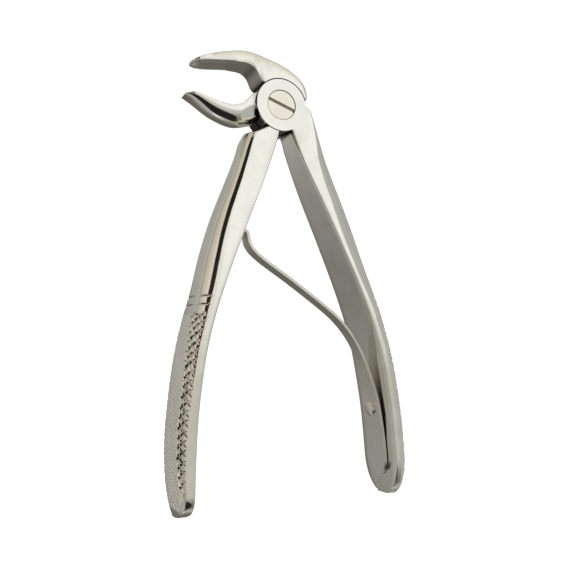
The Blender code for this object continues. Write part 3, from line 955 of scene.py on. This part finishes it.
def rivet():
    """The rivet, turned from its profile and set square to the strip."""
    low, high = (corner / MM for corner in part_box("spring_rivet"))
    radius = (high.z - low.z) / 2
    profile = [(0, RIVET_RISE)]
    for i in range(1, DOME_STEPS + 1):
        turn = math.pi / 2 * i / DOME_STEPS
        profile.append((radius * math.sin(turn) ** 0.8, RIVET_RISE * math.cos(turn) ** 0.7))
    shank_radius, shank_depth = RIVET_SHANK
    profile += [(radius * 0.97, -RIVET_UNDERSIDE), (shank_radius, -RIVET_UNDERSIDE)]
    profile += [(shank_radius, -shank_depth), (0, -shank_depth)]
    item = turned("rivet", profile, 64)
    normal = spring_normal(RIVET_PLACE)
    place = spring_point(RIVET_PLACE) + normal * (SPRING_THICKNESS / 2 + RIVET_LIFT)
    turn = Vector((normal.x, normal.y, 0)).to_track_quat("Z", "Y").to_matrix().to_4x4()
    item.data.transform(Matrix.Translation((place.x, place.y, MIDDLE)) @ turn)
    return item


rivet_piece = finish_piece(rivet(), RIVET_STEEL, "front")
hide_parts("spring_rivet")

# %% [markdown]
# ## Floor, light and camera
# Polished steel shows what stands around it, so the surroundings matter more than the
# lamps. The forceps lie on a light table: a white floor that glows evenly, so it takes
# almost no shadow. It is kept out of reflections, where the tent of light takes its place.

# %% The floor
FLOOR_SIZE = 3.0
FLOOR_GAP = 0.0005
bm = bmesh.new()
bmesh.ops.create_grid(bm, x_segments=1, y_segments=1, size=FLOOR_SIZE / 2 / MM)
floor = raw_object("floor", bm)
floor.data.transform(Matrix.Scale(MM, 4))
floor.location.z = frame_box[0][2] - FLOOR_GAP
paper = bpy.data.materials.new("white_light_table")
paper.use_nodes = True
paper_shader = paper.node_tree.nodes["Principled BSDF"]
paper_shader.inputs["Base Color"].default_value = linear("c8c8c6") + [1.0]
paper_shader.inputs["Roughness"].default_value = 0.9
paper_shader.inputs["Emission Color"].default_value = (1.0, 1.0, 0.998, 1.0)
paper_shader.inputs["Emission Strength"].default_value = 0.95
floor.data.materials.append(paper)
floor.visible_glossy = False
print("floor", round(floor.location.z / MM, 2), "mm from the joint's back face")

# %% [markdown]
# ## The tent of light
# A pale tent surrounds the forceps. Its colour changes with height, greyer below and
# nearly white at the top.

# %% The tent's colours by height
world = bpy.data.worlds.new("light_tent")
bpy.context.scene.world = world
world.use_nodes = True
sky = world.node_tree
direction = add_node(sky, "ShaderNodeTexCoord").outputs["Generated"]
height = add_node(sky, "ShaderNodeSeparateXYZ", [("Vector", direction)]).outputs["Z"]
level = add_node(sky, "ShaderNodeMapRange", [("Value", height)], **{"From Min": -1.0, "From Max": 1.0})
tent = add_node(sky, "ShaderNodeValToRGB", [("Fac", level.outputs["Result"])])
STOPS = (
    (0.0, "aaa9a4"), (0.30, "aeada8"), (0.47, "c0bfba"), (0.50, "b8b4aa"),
    (0.53, "bab3a4"), (0.65, "c8c1ae"), (0.80, "d8d2c4"), (0.92, "f4f1e8"), (1.0, "f8f5ee"),
)
ramp = tent.color_ramp
while len(ramp.elements) < len(STOPS):
    ramp.elements.new(0.5)
for element, (position, colour) in zip(ramp.elements, STOPS):
    element.position = position
    element.color = linear(colour) + [1.0]
colour = tent.outputs["Color"]
print("the tent has", len(ramp.elements), "stops by height")

# %% [markdown]
# The tent is brighter towards the beaks' end and darker towards the grips' end.

# %% The fall of light along the tent
FALL = (
    (0.0, 0.30), (0.25, 0.42), (0.38, 0.60), (0.475, 0.64),
    (0.60, 0.80), (0.65, 0.97), (0.70, 1.04), (1.0, 1.04),
)
side_way = add_node(sky, "ShaderNodeSeparateXYZ", [("Vector", direction)]).outputs["Y"]
fall_level = add_node(sky, "ShaderNodeMapRange", [("Value", side_way)], **{"From Min": -1.0, "From Max": 1.0})
fall = add_node(sky, "ShaderNodeValToRGB", [("Fac", fall_level.outputs["Result"])])
while len(fall.color_ramp.elements) < len(FALL):
    fall.color_ramp.elements.new(0.5)
for element, (position, light) in zip(fall.color_ramp.elements, FALL):
    element.position = position
    element.color = (light, light * 0.995, light * 0.98, 1.0)
above = add_node(sky, "ShaderNodeMapRange", [("Value", height)], **{"From Min": 0.0, "From Max": 0.2})
shaded = add_node(sky, "ShaderNodeMix", data_type="RGBA", blend_type="MULTIPLY")
sky.links.new(above.outputs["Result"], shaded.inputs["Factor"])
sky.links.new(colour, shaded.inputs[6])
sky.links.new(fall.outputs["Color"], shaded.inputs[7])
colour = shaded.outputs[2]
print("light at the grips' end is", FALL[0][1], "of full")

# %% [markdown]
# A plain tent makes steel look like grey plastic. What makes it read as a mirror is a few
# patches with clear edges: white cards for bright faces, and dark and brown gaps between
# the tent's panels, which show as the dark bands along the handles and the lower beak.
# A patch is given as its direction, two angles between which it fades, and its colour.

# %% The patches of the tent
def patch(colour_in, aim, inner, outer, shade):
    """Paints a round patch of the tent, soft between two angles in degrees."""
    aim = Vector(aim).normalized()
    dot = add_node(sky, "ShaderNodeVectorMath", operation="DOT_PRODUCT")
    sky.links.new(direction, dot.inputs[0])
    dot.inputs[1].default_value = aim
    span = add_node(
        sky,
        "ShaderNodeMapRange",
        [("Value", dot.outputs["Value"])],
        interpolation_type="SMOOTHSTEP",
        **{"From Min": math.cos(math.radians(outer)), "From Max": math.cos(math.radians(inner))},
    )
    mix = add_node(sky, "ShaderNodeMix", data_type="RGBA")
    sky.links.new(span.outputs["Result"], mix.inputs["Factor"])
    sky.links.new(colour_in, mix.inputs[6])
    mix.inputs[7].default_value = linear(shade) + [1.0]
    return mix.outputs[2]


PATCHES = (
    ((1.0, 0.0, 0.3), 40, 45, "babab4"),
    ((0.42, 0.34, 0.84), 6, 18, "fffffc"),
    ((0.10, -0.50, -0.86), 12, 50, "67655d"),
    ((-0.34, 0.28, 0.90), 13, 16, "5a342d"),
    ((-0.25, 0.58, 0.77), 16, 19, "242220"),
    ((-0.15, -0.85, 0.50), 31, 34, "252423"),
    ((-0.18, -0.955, -0.23), 5, 8, "f4f2ec"),
)
for aim, inner, outer, shade in PATCHES:
    colour = patch(colour, aim, inner, outer, shade)
print(len(PATCHES), "patches")

# %% [markdown]
# Where the tent meets the table there is a thin darker seam. What is seen directly behind
# the forceps is plain white paper, whatever the reflections show.

# %% The seam and the backdrop
SEAM = (0.02, 0.06)
SEAM_LIGHT = 0.62
line_off = add_node(sky, "ShaderNodeMath", operation="ABSOLUTE")
sky.links.new(height, line_off.inputs[0])
line = add_node(
    sky,
    "ShaderNodeMapRange",
    [("Value", line_off.outputs[0])],
    **{"From Min": SEAM[0], "From Max": SEAM[1], "To Min": SEAM_LIGHT, "To Max": 1.0},
)
lined = add_node(sky, "ShaderNodeVectorMath", operation="SCALE")
sky.links.new(colour, lined.inputs[0])
sky.links.new(line.outputs["Result"], lined.inputs["Scale"])
colour = lined.outputs["Vector"]
seen = add_node(sky, "ShaderNodeLightPath").outputs["Is Camera Ray"]
backdrop = add_node(sky, "ShaderNodeMix", data_type="RGBA")
sky.links.new(seen, backdrop.inputs["Factor"])
sky.links.new(colour, backdrop.inputs[6])
backdrop.inputs[7].default_value = (1.0, 1.0, 1.0, 1.0)
background = sky.nodes["Background"]
sky.links.new(backdrop.outputs[2], background.inputs["Color"])
background.inputs["Strength"].default_value = 1.05
print("tent strength", round(background.inputs["Strength"].default_value, 2))

# %% [markdown]
# ## The camera
# The camera looks down at the forceps a little from the left and from the grips' end, so
# that the face of the joint and the inner face of the right handle both show.

# %% The camera
camera_data = bpy.data.cameras.new("camera")
camera_data.sensor_width = 36.0
camera_data.lens = 46.36
camera_data.clip_start = 0.01
camera = bpy.data.objects.new("camera", camera_data)
bpy.context.scene.collection.objects.link(camera)
back = Vector((-0.40464, -0.10543, 0.90838)).normalized()
right = Vector((0.91347, 0.0, 0.40690)).normalized()
camera.matrix_world = Matrix((right, back.cross(right), back)).transposed().to_4x4()
camera.location = Vector((-77.97, -69.89, 177.2 + FRONT)) * MM
bpy.context.scene.camera = camera
bpy.context.scene.view_settings.view_transform = "Standard"
print("camera", round((camera.location.z / MM) - FRONT, 1), "mm above the joint's face")

# %% [markdown]
# ## Finish
# The box of the frame the model was built round, printed in millimetres.

# %% Finish
print("frame box in mm", [[round(v / MM, 2) for v in corner] for corner in frame_box])
